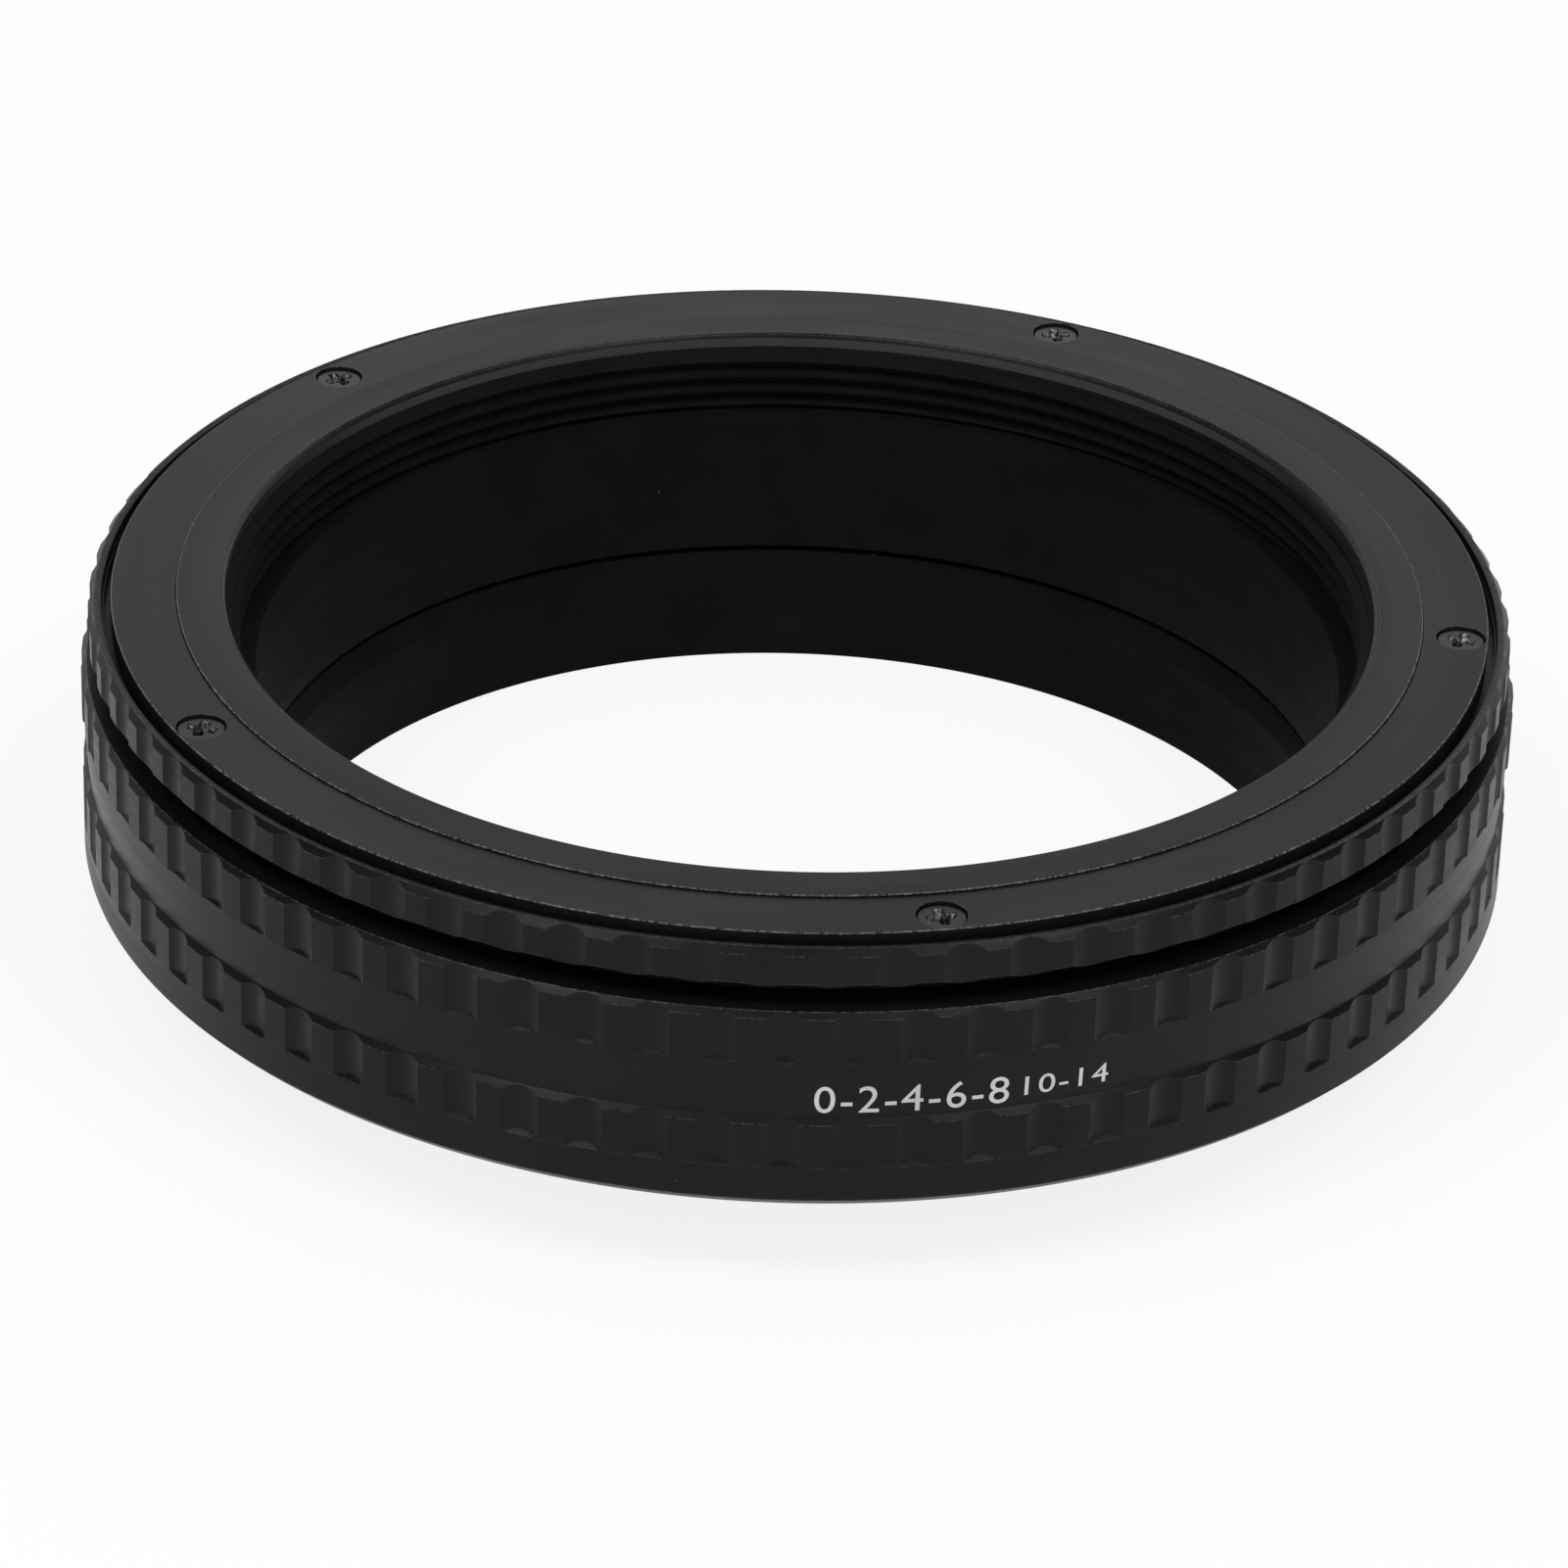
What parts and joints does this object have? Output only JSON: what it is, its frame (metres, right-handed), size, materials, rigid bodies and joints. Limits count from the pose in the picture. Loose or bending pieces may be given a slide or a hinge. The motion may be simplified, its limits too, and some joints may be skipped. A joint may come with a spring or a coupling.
{
  "type": "macro helicoid adapter",
  "caption": "Flat double-helicoid extension ring with threaded front and rear, a wide scalloped focus ring and a thin scalloped front ring.",
  "frame": {"origin": "on the optical axis, at the end of the rear thread, which is the lowest point as it stands", "axes": "+Z along the optical axis from the rear thread to the front rim; -Y is the side that the picture shows; the plate's screws are placed as pictured"},
  "size_m": [0.082, 0.082, 0.021],
  "materials": {
    "black_aluminium": "black anodised, fine-turned",
    "grip_aluminium": "black anodised, satin",
    "plate_aluminium": "black anodised, blasted",
    "screw_steel": "black oxide",
    "pin_steel": "ground",
    "key_brass": "milled"
  },
  "bodies": {
    "rear": {"rear_mount": "black_aluminium", "base_helicoid": "black_aluminium", "mount_screws": "screw_steel"},
    "guide": {"guide_ring": "black_aluminium", "guide_keys": "key_brass", "key_screws": "screw_steel"},
    "focus": {"focus_ring": "grip_aluminium", "helicoid_sleeve": "black_aluminium", "sleeve_screws": "screw_steel", "stop_pin": "pin_steel"},
    "front": {"front_barrel": "black_aluminium", "mount_ring": "black_aluminium", "front_grip_ring": "grip_aluminium", "top_plate": "plate_aluminium", "plate_screws": "screw_steel"}
  },
  "joints": [
    {"name": "guide_lift", "type": "slide", "parent": "rear", "child": "guide", "axis": [0, 0, 1], "range_m": [0, 0.007]},
    {"name": "focus_turn", "type": "hinge", "parent": "guide", "child": "focus", "pos_m": [0, 0, 0.01], "axis": [0, 0, 1], "range_deg": [0, 270]},
    {"name": "front_lift", "type": "slide", "parent": "guide", "child": "front", "axis": [0, 0, 1], "range_m": [0, 0.007]}
  ],
  "couplings": [
    {"joint": "guide_lift", "follows": "focus_turn", "m_per_rad": 0.0014854},
    {"joint": "front_lift", "follows": "focus_turn", "m_per_rad": 0.0014854}
  ]
}
